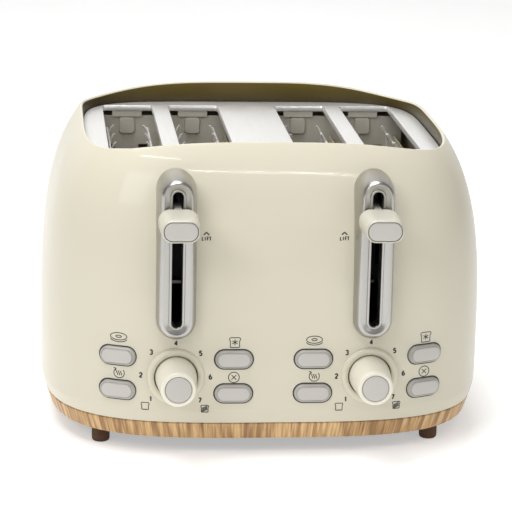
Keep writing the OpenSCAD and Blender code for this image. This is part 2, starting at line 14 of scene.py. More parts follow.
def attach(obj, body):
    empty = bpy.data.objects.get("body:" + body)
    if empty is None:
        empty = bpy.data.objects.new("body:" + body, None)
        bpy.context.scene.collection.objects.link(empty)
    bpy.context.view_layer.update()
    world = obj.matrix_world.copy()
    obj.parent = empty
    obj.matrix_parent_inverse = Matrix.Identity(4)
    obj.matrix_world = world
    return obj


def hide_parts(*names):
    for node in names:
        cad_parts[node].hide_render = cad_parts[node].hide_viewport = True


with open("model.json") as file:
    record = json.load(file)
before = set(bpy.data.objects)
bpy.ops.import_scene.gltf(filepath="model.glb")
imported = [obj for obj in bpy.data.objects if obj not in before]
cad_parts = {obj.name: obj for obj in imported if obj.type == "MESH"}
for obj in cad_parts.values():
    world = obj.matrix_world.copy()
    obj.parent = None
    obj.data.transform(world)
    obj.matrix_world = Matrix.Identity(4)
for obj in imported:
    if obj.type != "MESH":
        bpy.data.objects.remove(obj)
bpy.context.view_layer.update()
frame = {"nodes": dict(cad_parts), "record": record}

MM = 0.001

# ---- sizes, in millimetres ----

BODY_W, BODY_D = 315.0, 300.0
SHELL_Z, WIDE_Z = 25.5, 34.0
DOME_RISE, DOME_POWER = 211.0, 3.6
PLAN_POWER, PLAN_POWER_TOP = 3.45, 3.9
WAIST = 0.055
SHELL_T = 1.2
OPEN_W, OPEN_D, OPEN_POWER = 252.5, 232.0, 4.8
DECK_Z = 199.5
RIM_ROLL = 2.2
FLANGE_Z = DECK_Z - 6

SLOT_W, SLOT_L, SLOT_BACK = 38.0, 160.0, 97.0
PAIR_X, SLOT_PITCH = 66.0, 50.3
SLOT_X = [s * PAIR_X + k * SLOT_PITCH / 2 for s in (-1, 1) for k in (-1, 1)]

LEVER_X, LEVER_Z = 67.0, 171.0
LEVER_SLOT_LO, LEVER_SLOT_HI, LEVER_SLOT_W = 96.0, 189.5, 7.0
BEZEL_W, BEZEL_FRONT = 27.0, 158.0
HANDLE_FRONT, HANDLE_L = 193.0, 33.0
BLADE_BACK, BLADE_RAISE = 138.0, 0.7

DIAL_X, DIAL_Z = 66.4, 59.0
DIAL_RING_R, KNOB_R, KNOB_FRONT_R, KNOB_FRONT = 19.7, 14.2, 11.7, 179.0
KNOB_BACK = 143.5

BUTTON_DX, BUTTON_HI, BUTTON_LO = 39.2, 71.5, 47.3
BUTTON_W, BUTTON_H = 25.6, 12.8

BAND_Z, BAND_TAPER = 13.0, 3.5
FOOT_R, FOOT_X, FOOT_Y = 6.3, 116.0, 106.0

GUARD_DX, GUARD_LO, GUARD_HI, WIRE_R = 15.5, 48.0, 190.0, 0.9
HOOK_STEP = 31.5
FRONT_PLATE_Y = SLOT_BACK - SLOT_L - 5
REAR_PLATE_Y = SLOT_BACK + 2.6

SIDES = {"left": -1, "right": 1}

# ---- the body's surface ----


def clamp01(v):
    return max(0.0, min(1.0, v))


def plan_n(z):
    return PLAN_POWER + (PLAN_POWER_TOP - PLAN_POWER) * clamp01((z - SHELL_Z) / (DECK_Z - SHELL_Z))


def rise(z, off=0.0):
    if z <= WIDE_Z:
        return 1 - WAIST * (WIDE_Z - z) / WIDE_Z
    return max(0.0, 1 - ((z - WIDE_Z) / (DOME_RISE + off)) ** DOME_POWER) ** (1 / DOME_POWER)


def super_r(t, a, b, n):
    return (abs(math.cos(t) / a) ** n + abs(math.sin(t) / b) ** n) ** (-1 / n)


def body_r(t, z, off=0.0):
    return super_r(t, BODY_W / 2 + off, BODY_D / 2 + off, plan_n(z)) * rise(z, off)


def open_r(t, grow=0.0):
    return super_r(t, OPEN_W / 2 + grow, OPEN_D / 2 + grow, OPEN_POWER)


def rim_z(t, grow, off=0.0):
    """Height at which the body's surface has come in to the opening's outline."""
    low, high = 150.0, WIDE_Z + DOME_RISE + off - 0.01
    for _ in range(26):
        mid = (low + high) / 2
        if body_r(t, mid, off) > open_r(t, grow):
            low = mid
        else:
            high = mid
    return (low + high) / 2


def front_y(x, z, off=0.0):
    s, n = rise(z, off), plan_n(z)
    return -(BODY_D / 2 + off) * s * (1 - (abs(x) / ((BODY_W / 2 + off) * s)) ** n) ** (1 / n)


def plan_angles(count):
    """Angles round the plan, closer together where its corners turn."""
    result = []
    for j in range(count):
        u = 2 * math.pi * j / count
        c, s = math.cos(u), math.sin(u)
        y = BODY_D / 2 * math.copysign(abs(s) ** 0.8, s)
        x = BODY_W / 2 * math.copysign(abs(c) ** 0.8, c)
        result.append(math.atan2(y, x))
    return result


def polar(t, r, z):
    return (r * math.cos(t), r * math.sin(t), z)


def button_tilt(x):
    return math.atan((front_y(x + 2, 60) - front_y(x - 2, 60)) / 4)


# ---- mesh helpers ----


def loft(rings, cap_first=False, cap_last=False, closed_chain=False):
    """Vertices and faces of a skin over closed rings of equal length."""
    verts = [p for ring in rings for p in ring]
    n = len(rings[0])
    count = len(rings)
    faces = []
    for i in range(count if closed_chain else count - 1):
        a, b = i * n, ((i + 1) % count) * n
        for j in range(n):
            k = (j + 1) % n
            faces.append((a + j, a + k, b + k, b + j))
    if cap_first:
        faces.append(tuple(range(n - 1, -1, -1)))
    if cap_last:
        faces.append(tuple(range((count - 1) * n, count * n)))
    return verts, faces


def join_parts(parts):
    """One list of vertices and faces out of several."""
    verts, faces = [], []
    for v, f in parts:
        base = len(verts)
        verts.extend(v)
        faces.extend(tuple(base + i for i in face) for face in f)
    return verts, faces


def mesh_from(name, verts, faces):
    mesh = bpy.data.meshes.new(name)
    mesh.from_pydata([(x * MM, y * MM, z * MM) for x, y, z in verts], [], faces)
    work = bmesh.new()
    work.from_mesh(mesh)
    bmesh.ops.remove_doubles(work, verts=work.verts, dist=1e-7)
    bmesh.ops.recalc_face_normals(work, faces=work.faces)
    work.to_mesh(mesh)
    work.free()
    return mesh


def add_object(name, mesh):
    obj = bpy.data.objects.new(name, mesh)
    bpy.context.scene.collection.objects.link(obj)
    return obj


def smooth(mesh, angle=35):
    for polygon in mesh.polygons:
        polygon.use_smooth = True
    mesh.set_sharp_from_angle(angle=math.radians(angle))


def piece(name, parts, body, material, replaces=(), angle=35):
    """A finished piece from (vertices, faces) parts: smooth, coloured and riding on its body."""
    mesh = mesh_from(name, *join_parts(parts))
    smooth(mesh, angle)
    return finish_piece(add_object(name, mesh), body, material, replaces)


def finish_piece(obj, body, material, replaces=()):
    obj.data.materials.clear()
    obj.data.materials.append(material)
    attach(obj, body)
    if replaces:
        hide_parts(*replaces)
    return obj


def baked(obj):
    """The object's mesh with its modifiers applied, in place of the object's own."""
    bpy.context.view_layer.update()
    graph = bpy.context.evaluated_depsgraph_get()
    mesh = bpy.data.meshes.new_from_object(obj.evaluated_get(graph))
    obj.modifiers.clear()
    obj.data = mesh
    return obj


def pill_ring(w, h, arc=14, straight=8):
    """Points (u, v) round a level pill of that width and height."""
    r = h / 2
    half = (w - h) / 2
    points = []
    for side in (1, -1):
        for i in range(arc + 1):
            a = math.pi * (i / arc - 0.5)
            points.append((side * (half + r * math.cos(a)), side * r * math.sin(a)))
        for i in range(1, straight):
            points.append((side * (half - 2 * half * i / straight), side * r))
    return points


def upright_ring(z0, z1, w, arc=26, straight=40):
    """Points (u, z) round an upright pill from z0 to z1."""
    middle = (z0 + z1) / 2
    return [(-v, middle + u) for u, v in pill_ring(z1 - z0, w, arc, straight)]


def block_ring(w, h, r, arc=9):
    """Points (u, v) round a rectangle with round corners."""
    points = []
    for corner, (su, sv) in enumerate(((1, 1), (-1, 1), (-1, -1), (1, -1))):
        for i in range(arc + 1):
            a = math.pi / 2 * (corner + i / arc)
            points.append((su * (w / 2 - r) + r * math.cos(a), sv * (h / 2 - r) + r * math.sin(a)))
    return points


def at_front(x, z, y=0.0, tilt=0.0):
    """Function that takes (u, v, depth) to the toaster's front; depth grows inwards."""
    c, s = math.cos(tilt), math.sin(tilt)
    return lambda u, v, d: (x + u * c - d * s, y + u * s + d * c, z + v)


def lathe(profile, place, count=128):
    """Skin of revolution about the depth axis; profile points are (radius, depth)."""
    rings = []
    for r, d in profile:
        ring = []
        for j in range(count):
            a = 2 * math.pi * j / count
            ring.append(place(max(r, 0.001) * math.cos(a), max(r, 0.001) * math.sin(a), d))
        rings.append(ring)
    return loft(rings, True, True)


def slab(points, place, d0, d1):
    """Prism over an outline (u, v) between two depths."""
    return loft([[place(u, v, d) for u, v in points] for d in (d0, d1)], True, True)


def block(x0, x1, y0, y1, z0, z1):
    ring = [(x0, y0), (x1, y0), (x1, y1), (x0, y1)]
    return loft([[(x, y, z) for x, y in ring] for z in (z0, z1)], True, True)


# ---- materials ----


class Finish:
    """A material whose colour, roughness and bump come from noise in the object's own space."""

    def __init__(self, name, roughness=0.4, metallic=0.0, coat=0.0, coat_roughness=0.05, ior=1.5):
        self.material = bpy.data.materials.new(name)
        self.material.use_nodes = True
        self.nodes = self.material.node_tree.nodes
        self.links = self.material.node_tree.links
        self.shader = self.nodes["Principled BSDF"]
        self.shader.inputs["Roughness"].default_value = roughness
        self.shader.inputs["Metallic"].default_value = metallic
        self.shader.inputs["Coat Weight"].default_value = coat
        self.shader.inputs["Coat Roughness"].default_value = coat_roughness
        self.shader.inputs["IOR"].default_value = ior
        self.place = self.nodes.new("ShaderNodeTexCoord")
        self.height = None

    def attribute(self, name):
        """A vector stored on the mesh's vertices."""
        node = self.nodes.new("ShaderNodeAttribute")
        node.attribute_name = name
        return node.outputs["Vector"]

    def noise(self, scale, stretch=(1, 1, 1), detail=3.0, rough=0.5, source=None):
        mapping = self.nodes.new("ShaderNodeMapping")
        mapping.inputs["Scale"].default_value = stretch
        self.links.new(source or self.place.outputs["Object"], mapping.inputs["Vector"])
        noise = self.nodes.new("ShaderNodeTexNoise")
        noise.inputs["Scale"].default_value = scale
        noise.inputs["Detail"].default_value = detail
        noise.inputs["Roughness"].default_value = rough
        self.links.new(mapping.outputs["Vector"], noise.inputs["Vector"])
        return noise.outputs["Fac"]

    def ramp(self, source, stops):
        ramp = self.nodes.new("ShaderNodeValToRGB")
        elements = ramp.color_ramp.elements
        while len(elements) < len(stops):
            elements.new(0.5)
        for element, (position, color) in zip(elements, stops):
            element.position = position
            element.color = (*color, 1)
        self.links.new(source, ramp.inputs["Fac"])
        return ramp.outputs["Color"]

    def multiply(self, first, second, amount=1.0):
        mix = self.nodes.new("ShaderNodeMix")
        mix.data_type = "RGBA"
        mix.blend_type = "MULTIPLY"
        mix.inputs["Factor"].default_value = amount
        self.links.new(first, mix.inputs["A"])
        self.links.new(second, mix.inputs["B"])
        return mix.outputs["Result"]

    def height_ramp(self, low, high, stops):
        """Colours up the object, from one height to another in metres."""
        split = self.nodes.new("ShaderNodeSeparateXYZ")
        self.links.new(self.place.outputs["Object"], split.inputs["Vector"])
        spread = self.nodes.new("ShaderNodeMapRange")
        spread.inputs["From Min"].default_value = low
        spread.inputs["From Max"].default_value = high
        self.links.new(split.outputs["Z"], spread.inputs["Value"])
        return self.ramp(spread.outputs["Result"], stops)

    def color(self, source):
        self.links.new(source, self.shader.inputs["Base Color"])
        return self

    def rough(self, source, low, high):
        spread = self.nodes.new("ShaderNodeMapRange")
        spread.inputs["From Min"].default_value = 0.3
        spread.inputs["From Max"].default_value = 0.7
        spread.inputs["To Min"].default_value = low
        spread.inputs["To Max"].default_value = high
        self.links.new(source, spread.inputs["Value"])
        self.links.new(spread.outputs["Result"], self.shader.inputs["Roughness"])
        return self

    def bump(self, source, strength, distance):
        bump = self.nodes.new("ShaderNodeBump")
        bump.inputs["Strength"].default_value = strength
        bump.inputs["Distance"].default_value = distance
        self.links.new(source, bump.inputs["Height"])
        if self.height is not None:
            self.links.new(self.height, bump.inputs["Normal"])
        self.height = bump.outputs["Normal"]
        self.links.new(self.height, self.shader.inputs["Normal"])
        return self


def shade(color, factor):
    return tuple(min(1.0, c * factor) for c in color)


def enamel(name, color):
    """Glossy coat over cream paint, with a very slight orange peel."""
    f = Finish(name, roughness=0.4, coat=0.22, coat_roughness=0.07, ior=1.38)
    f.shader.inputs["Specular IOR Level"].default_value = 0.3
    broad = f.noise(5, detail=1)
    f.color(f.ramp(broad, [(0.3, shade(color, 0.996)), (0.7, shade(color, 1.004))]))
    f.rough(f.noise(30, detail=1), 0.39, 0.41)
    f.bump(f.noise(500, detail=0), 0.02, 0.00003)
    return f.material


def shaded_wall(name):
    """The opening's inner wall: the cream enamel's glossy coat with painted shade, dark olive below the rim
    and darker still towards the deck.
    """
    f = Finish(name, roughness=0.45, coat=0.1, coat_roughness=0.1, ior=1.35)
    # painted shade: the colour falls from dark olive at the rim to near black at the deck
    tone = f.height_ramp(0.196, 0.213, [(0.0, (0.012, 0.007, 0.001)), (1.0, (0.11, 0.078, 0.012))])
    f.color(f.multiply(tone, f.ramp(f.noise(40), [(0.3, (0.9, 0.9, 0.9)), (0.7, (1, 1, 1))])))
    f.bump(f.noise(420, detail=0), 0.03, 0.00005)
    return f.material


def moulded(name, color, roughness=0.34, coat=0.15):
    """Smooth moulded plastic with a fine matt grain."""
    f = Finish(name, roughness=roughness, coat=coat, coat_roughness=0.15)
    f.color(f.ramp(f.noise(30, detail=2), [(0.3, shade(color, 0.985)), (0.7, shade(color, 1.01))]))
    f.rough(f.noise(160), roughness - 0.02, roughness + 0.03)
    f.bump(f.noise(900, detail=0), 0.03, 0.00003)
    return f.material


def brushed(name, color, stretch, roughness=0.3, strength=0.06, scale=900, metallic=1.0):
    """Metal with fine brush lines; stretch is small along the lines."""
    f = Finish(name, roughness=roughness, metallic=metallic)
    lines = f.noise(scale, stretch, detail=2)
    f.color(f.ramp(lines, [(0.3, shade(color, 0.975)), (0.7, shade(color, 1.015))]))
    f.rough(f.noise(35), roughness - 0.01, roughness + 0.02)
    f.bump(lines, strength, 0.00005)
    return f.material


def timber(name):
    """Light oak with its grain upright: pale ground, darker streaks and fine pores."""
    f = Finish(name, roughness=0.5)
    place = f.attribute("grain")
    streaks = f.noise(330, (1, 1, 0.08), detail=2, rough=0.6, source=place)
    tone = f.ramp(streaks, [(0.36, (0.30, 0.16, 0.06)),
                            (0.5, (0.52, 0.32, 0.14)), (0.62, (0.68, 0.46, 0.225))])
    pores = f.noise(1000, (1, 1, 0.06), detail=1, source=place)
    pore_tone = f.ramp(pores, [(0.32, (0.62, 0.55, 0.46)), (0.5, (1, 1, 1))])
    patches = f.ramp(f.noise(14, source=place), [(0.3, (0.92, 0.91, 0.9)), (0.7, (1, 1, 1))])
    f.color(f.multiply(f.multiply(tone, pore_tone, 0.6), patches))
    f.rough(streaks, 0.42, 0.6)
    f.bump(pores, 0.2, 0.0001)
    return f.material


def rubber(name, color):
    f = Finish(name, roughness=0.7)
    f.color(f.ramp(f.noise(300), [(0.3, shade(color, 0.8)), (0.7, shade(color, 1.15))]))
    f.rough(f.noise(200), 0.6, 0.8)
    f.bump(f.noise(2500), 0.3, 0.0001)
    return f.material


def mica_sheet(name):
    """Layered mica: pale flakes in warm grey, slightly pearly."""
    f = Finish(name, roughness=0.45, metallic=0.1)
    flakes = f.noise(180, (1, 1, 1.6), detail=6, rough=0.7)
    f.color(f.ramp(flakes, [(0.3, (0.30, 0.25, 0.17)), (0.5, (0.48, 0.42, 0.30)), (0.7, (0.62, 0.56, 0.43))]))
    f.rough(flakes, 0.35, 0.6)
    f.bump(flakes, 0.3, 0.0002)
    return f.material


def wound_copper(name):
    """Lacquered copper wire wound round a core."""
    f = Finish(name, roughness=0.35, metallic=0.9)
    turns = f.noise(700, (0.02, 0.02, 1), detail=1)
    f.color(f.ramp(turns, [(0.35, (0.25, 0.08, 0.03)), (0.6, (0.62, 0.28, 0.12))]))
    f.bump(turns, 0.5, 0.0003)
    return f.material


def circuit(name):
    """Green board with slightly paler tracks."""
    f = Finish(name, roughness=0.4, coat=0.3)
    tracks = f.noise(90, (1, 0.05, 1), detail=0)
    f.color(f.ramp(tracks, [(0.46, (0.010, 0.085, 0.03)), (0.5, (0.03, 0.17, 0.07))]))
    f.bump(tracks, 0.2, 0.0001)
    return f.material


def ceramic(name):
    f = Finish(name, roughness=0.35, coat=0.2)
    f.color(f.ramp(f.noise(400, detail=5), [(0.35, (0.66, 0.65, 0.61)), (0.6, (0.80, 0.79, 0.75))]))
    f.bump(f.noise(700), 0.12, 0.0001)
    return f.material


def ink(name):
    """Printed marks: dark warm grey, a little uneven."""
    f = Finish(name, roughness=0.5)
    f.color(f.ramp(f.noise(800), [(0.3, (0.010, 0.009, 0.008)), (0.7, (0.020, 0.019, 0.018))]))
    f.bump(f.noise(1200), 0.05, 0.00005)
    return f.material


CREAM = (0.60, 0.565, 0.455)

ENAMEL = enamel("cream_enamel", CREAM)
PAINTED_SHADE_WALL = shaded_wall("opening_wall_painted_shade")
CREAM_PLASTIC = moulded("cream_plastic", (0.72, 0.69, 0.585), 0.32)
DECK_METAL = brushed("deck_metal", (0.90, 0.89, 0.87), (1, 0.03, 1), 0.42, 0.015)
BEZEL_METAL = brushed("bezel_metal", (0.44, 0.43, 0.405), (1, 1, 0.03), 0.3, 0.01, 700)
SLOT_METAL = brushed("slot_metal", (0.62, 0.59, 0.52), (1, 1, 0.2), 0.4, 0.05, 260, 0.35)
HANDLE_PLASTIC = moulded("handle_plastic", (0.51, 0.49, 0.415), 0.36)
BUTTON_SILVER = moulded("button_silver", (0.47, 0.45, 0.42), 0.36)
# A darker copy of the button's silver for the rims: painted shade on their sloping faces.
BUTTON_RIM_SHADE = moulded("button_rim_painted_shade", (0.38, 0.365, 0.335), 0.4)
OAK = timber("oak")
RUBBER = rubber("brown_rubber", (0.075, 0.03, 0.009))
BLACK_STEEL = moulded("black_steel", (0.012, 0.012, 0.012), 0.85, 0.0)
PLATED = brushed("plated_steel", (0.50, 0.50, 0.49), (1, 1, 0.2), 0.34, 0.08, 260)
# Near-black steel for the lift carriages: painted shade for the dark inside of the lever slots.
CARRIAGE_SHADE_STEEL = brushed("carriage_steel_painted_shade", (0.07, 0.07, 0.07), (1, 1, 0.2), 0.55, 0.05, 260, 0.6)
WIRE = brushed("bright_wire", (0.86, 0.85, 0.82), (1, 1, 0.05), 0.25, 0.02, 900, 0.45)
MICA = mica_sheet("mica")
COPPER = wound_copper("copper_coil")
BOARD = circuit("board_green")
BLACK_PLASTIC = moulded("black_plastic", (0.022, 0.022, 0.024), 0.5)
CERAMIC = ceramic("white_ceramic")
INK = ink("printed_mark")

# ---- shell ----


def shell_column(t, outer_steps, inner_steps):
    top = rim_z(t, RIM_ROLL)
    column = []
    for i in range(outer_steps + 1):
        z = SHELL_Z + (top - SHELL_Z) * (1 - (1 - i / outer_steps) ** 1.5)
        column.append(polar(t, body_r(t, z), z))
    start = (RIM_ROLL, top)
    bend = (0.35, top + 1.05)
    end = (0.0, top - RIM_ROLL)
    for i in range(1, 9):
        u = i / 8
        grow, z = [(1 - u) ** 2 * a + 2 * u * (1 - u) * b + u * u * c for a, b, c in zip(start, bend, end)]
        column.append(polar(t, open_r(t, grow), z))
    for i in range(1, 5):
        column.append(polar(t, open_r(t), end[1] + (FLANGE_Z - end[1]) * i / 4))
    inner_top = min(rim_z(t, RIM_ROLL + 1.6, -SHELL_T), top - RIM_ROLL)
    column.append(polar(t, open_r(t, 1), FLANGE_Z))
    column.append(polar(t, open_r(t, 1), inner_top))
    for i in range(inner_steps, -1, -1):
        z = SHELL_Z + (inner_top - SHELL_Z) * i / inner_steps
        column.append(polar(t, body_r(t, z, -SHELL_T), z))
    return column


def shell_cutters():
    """Solids for every opening in the shell."""
    parts = []
    for s in SIDES.values():
        ring = upright_ring(LEVER_SLOT_LO - 1.8, LEVER_SLOT_HI + 1.8, LEVER_SLOT_W + 3.6, 12, 4)
        parts.append(slab(ring, at_front(s * LEVER_X, 0), -170, -100))
        parts.append(lathe([(KNOB_R + 0.7, -170), (KNOB_R + 0.7, -120)], at_front(s * DIAL_X, DIAL_Z), 96))
        for x in (s * DIAL_X - BUTTON_DX, s * DIAL_X + BUTTON_DX):
            for z in (BUTTON_LO, BUTTON_HI):
                place = at_front(x, z, front_y(x, z), button_tilt(x))
                parts.append(slab(pill_ring(BUTTON_W + 1.2, BUTTON_H + 1.2, 20), place, -12, 12))
        parts.append(block(s * PAIR_X - 45, s * PAIR_X + 45, 110, 160, SHELL_Z + 1, 37))
    ring = [(7.6 * math.cos(a), 7.6 * math.sin(a)) for a in [math.pi * i / 24 for i in range(48)]]
    parts.append(slab(ring, at_front(0, 52), 120, 160))
    return mesh_from("shell_cutters", *join_parts(parts))


def outer_normal(p):
    """Outward direction of the body's surface near a point, in metres."""
    t, z = math.atan2(p.y, p.x), p.z / MM
    step = 0.001
    along = Vector(polar(t + step, body_r(t + step, z), z)) - Vector(polar(t - step, body_r(t - step, z), z))
    up = Vector(polar(t, body_r(t, z + step), z + step)) - Vector(polar(t, body_r(t, z - step), z - step))
    return along.cross(up).normalized()


def build_shell():
    around, outer_steps = ((320, 80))
    columns = [shell_column(t, outer_steps, 20) for t in plan_angles(around)]
    obj = add_object("shell", mesh_from("shell", *loft(columns, closed_chain=True)))
    cutter = add_object("shell_cutter", shell_cutters())
    cut = obj.modifiers.new("openings", "BOOLEAN")
    cut.operation = "DIFFERENCE"
    cut.solver = "EXACT"
    cut.object = cutter
    baked(obj)
    bpy.data.objects.remove(cutter)
    mesh = obj.data
    smooth(mesh, 30)
    normals = []
    for polygon in mesh.polygons:
        for index in polygon.vertices:
            point = mesh.vertices[index].co
            normal = Vector((0, 0, 0))
            if SHELL_Z * MM - 1e-6 < point.z < (WIDE_Z + DOME_RISE - 3) * MM:
                t = math.atan2(point.y, point.x)
                on_skin = abs(math.hypot(point.x, point.y) / MM - body_r(t, point.z / MM)) < 0.02
                if on_skin:
                    wanted = outer_normal(point)
                    if wanted.dot(polygon.normal) > 0.8:
                        normal = wanted
            normals.append(normal)
    mesh.normals_split_custom_set(normals)
    finish_piece(obj, "chassis", ENAMEL, ["housing_shell"])
    # The opening's inward faces above the flange take the painted-shade wall material in place of the enamel.
    mesh.materials.append(PAINTED_SHADE_WALL)
    for polygon in mesh.polygons:
        x, y, z = (c / MM for c in polygon.center)
        t = math.atan2(y, x)
        inward = polygon.normal.x * x + polygon.normal.y * y < 0
        if inward and z > FLANGE_Z and math.hypot(x, y) < open_r(t, 0.3):
            polygon.material_index = 1


# ---- deck ----


def build_deck():
    """Plate with rounded slot edges, from a filled outline, and a turned-down lip round each slot."""
    curve = bpy.data.curves.new("deck_outline", "CURVE")
    curve.dimensions = "2D"
    curve.fill_mode = "BOTH"
    curve.extrude = 0.2 * MM
    curve.bevel_depth = 0.3 * MM
    curve.bevel_resolution = 3
    outlines = [[polar(t, open_r(t, -1.0), 0)[:2] for t in plan_angles(240)]]
    for x in SLOT_X:
        ring = block_ring(SLOT_W + 0.6, SLOT_L + 0.6, 2.2, 6)
        outlines.append([(x + u, SLOT_BACK - SLOT_L / 2 + v) for u, v in ring])
    for outline in outlines:
        spline = curve.splines.new("POLY")
        spline.points.add(len(outline) - 1)
        for point, (x, y) in zip(spline.points, outline):
            point.co = (x * MM, y * MM, 0, 1)
        spline.use_cyclic_u = True
    flat = add_object("deck_flat", curve)
    bpy.context.view_layer.update()
    graph = bpy.context.evaluated_depsgraph_get()
    mesh = bpy.data.meshes.new_from_object(flat.evaluated_get(graph))
    bpy.data.objects.remove(flat)
    mesh.transform(Matrix.Translation((0, 0, (DECK_Z - 0.5) * MM)))
    work = bmesh.new()
    work.from_mesh(mesh)
    bmesh.ops.remove_doubles(work, verts=work.verts, dist=1e-6)
    bmesh.ops.recalc_face_normals(work, faces=work.faces)
    work.to_mesh(mesh)
    work.free()
    smooth(mesh, 40)
    finish_piece(add_object("deck", mesh), "chassis", DECK_METAL, ["top_deck"])
    lips = []
    profile = [(0.35, -0.55), (0.0, -0.8), (-0.15, -1.2), (-0.15, -3.9), (0.45, -3.9), (0.45, -0.7)]
    for x in SLOT_X:
        rings = []
        for grow, dz in profile:
            ring = block_ring(SLOT_W + 2 * grow, SLOT_L + 2 * grow, 2.2 + grow, 6)
            rings.append([(x + u, SLOT_BACK - SLOT_L / 2 + v, DECK_Z + dz) for u, v in ring])
        lips.append(loft(rings, closed_chain=True))
    piece("deck_slot_lips", lips, "chassis", DECK_METAL)
    hooks = []
    for x in SLOT_X:
        place = at_front(x, DECK_Z - 4.6, SLOT_BACK + 0.5)
        hooks.append(slab(block_ring(22.5, 8.0, 0.9, 4), place, 0, 0.8))
    piece("deck_hooks", hooks, "chassis", SLOT_METAL)


# ---- base ----


def build_base():
    angles = plan_angles(320)
    profile = [
        (-0.4 - BAND_TAPER - 0.5, BAND_Z), (-0.4 - BAND_TAPER, BAND_Z + 0.5),
        (-0.4 - BAND_TAPER * 0.66, BAND_Z + 4), (-0.4 - BAND_TAPER * 0.3, BAND_Z + 8),
        (-0.4, SHELL_Z - 1.6), (-0.65, SHELL_Z - 0.8), (-1.2, SHELL_Z - 0.5), (-1.5, SHELL_Z - 0.5),
        (-1.5, SHELL_Z + 0.8), (-13, SHELL_Z + 0.8), (-13, BAND_Z + 0.6), (-12.4, BAND_Z)]
    rings = []
    for off, z in profile:
        rings.append([polar(t, body_r(t, SHELL_Z, off), z) for t in angles])
    band = piece("wooden_band", [loft(rings, closed_chain=True)], "chassis", OAK, ["base_band"], 50)
    grain = band.data.attributes.new("grain", "FLOAT_VECTOR", "POINT")
    for vertex, value in zip(band.data.vertices, grain.data):
        t = math.atan2(vertex.co.y, vertex.co.x)
        value.vector = Vector(polar(t, body_r(t, SHELL_Z), vertex.co.z / MM)) * MM
    profile = [(0, 0), (FOOT_R - 1.3, 0), (FOOT_R - 0.5, 0.5), (FOOT_R - 0.1, 1.4), (FOOT_R, 2.6),
               (FOOT_R, 11.9), (FOOT_R - 0.4, 12.6), (FOOT_R - 1, 12.9), (0, 12.9)]
    parts = []
    for x in (-FOOT_X, FOOT_X):
        for y in (-FOOT_Y, FOOT_Y):
            parts.append(lathe(profile, lambda u, v, d, x=x, y=y: (x + u, y + v, d), 48))
    piece("feet_round", parts, "chassis", RUBBER, ["feet"], 50)


# ---- levers ----


def bezel_part(s):
    """Raised frame whose outer edge stands on the shell and whose lip goes round the slot."""
    x0 = s * LEVER_X
    margin = (BEZEL_W - LEVER_SLOT_W) / 2
    lo, hi = LEVER_SLOT_LO - margin, LEVER_SLOT_HI + margin
    place = at_front(x0, 0)
    rings = []
    for step in range(15):
        a = math.radians(90 * step / 14)
        inset = 4.4 - 4.4 * math.cos(a)
        ring = []
        for u, z in upright_ring(lo + inset, hi - inset, BEZEL_W - 2 * inset):
            root = front_y(x0 + u, z) + 0.3
            ring.append(place(u, z, root + (0.15 - BEZEL_FRONT - root) * math.sin(a)))
        rings.append(ring)
    profile = [(5.0, 0.22), (5.8, 0.4), (6.8, 0.78), (7.7, 1.15), (8.15, 1.32), (8.25, 1.2), (8.4, 0.75),
               (8.6, 0.6), (9.3, 0.58), (9.7, 0.7), (9.92, 1.0), (10, 1.6), (10, 14), (9, 14)]
    for inset, depth in profile:
        ring = upright_ring(lo + inset, hi - inset, BEZEL_W - 2 * inset)
        rings.append([place(u, z, depth - BEZEL_FRONT) for u, z in ring])
    return loft(rings)


def handle_parts(s):
    place = at_front(s * LEVER_X, LEVER_Z)
    back = HANDLE_L
    sections = [
        (back, 22.5, 12.2), (back, 24.6, 14.2), (back - 0.5, 25.8, 15.4), (back - 1.6, 26.5, 16.1),
        (back - 4, 27.2, 16.7), (back - 8, 27.4, 16.9), (16, 26.8, 16.5), (8, 26.1, 16.1),
        (3.2, 25.6, 15.7), (1.6, 25.2, 15.4), (0.7, 24.7, 14.9), (0.2, 24.0, 14.3), (0, 23.4, 13.7),
        (0.05, 23.0, 13.3), (0.3, 22.75, 13.05), (2.6, 22.7, 13.0)]
    rings = []
    for depth, w, h in sections:
        rings.append([place(u, v, depth - HANDLE_FRONT) for u, v in block_ring(w, h, h * 0.46)])
    body = loft(rings, True, True)
    blade_end = HANDLE_FRONT - BLADE_BACK
    sections = [(HANDLE_L - 1, 5.2, 12.8), (HANDLE_L, 5.6, 13.4), (blade_end - 0.6, 5.6, 13.4),
                (blade_end, 5.0, 12.8)]
    rings = []
    for depth, w, h in sections:
        rings.append([place(u, v + BLADE_RAISE, depth - HANDLE_FRONT) for u, v in block_ring(w, h, 0.8, 4)])
    return body, loft(rings, True, True)


def cap_part(s):
    place = at_front(s * LEVER_X, LEVER_Z)
    sections = [(2.5, 21.9, 12.2), (0.45, 21.9, 12.2), (0.12, 21.6, 11.9), (-0.04, 21.0, 11.3),
                (-0.1, 19.5, 9.8), (-0.14, 16, 6.3), (-0.15, 13, 3.3)]
    rings = []
    for depth, w, h in sections:
        rings.append([place(u, v, depth - HANDLE_FRONT) for u, v in block_ring(w, h, h * 0.46)])
    return loft(rings, True, True)


def build_levers():
    for side, s in SIDES.items():
        piece(f"bezel_{side}", [bezel_part(s)], "chassis", BEZEL_METAL,
              [f"lever_bezel_{side}"], 28)
        grip, blade = handle_parts(s)
        piece(f"handle_{side}", [grip, blade], f"lever_{side}", HANDLE_PLASTIC,
              [f"lever_handle_{side}"], 40)
        piece(f"handle_cap_{side}", [cap_part(s)], f"lever_{side}", BUTTON_SILVER,
              [f"lever_cap_{side}"], 40)


# ---- dials ----


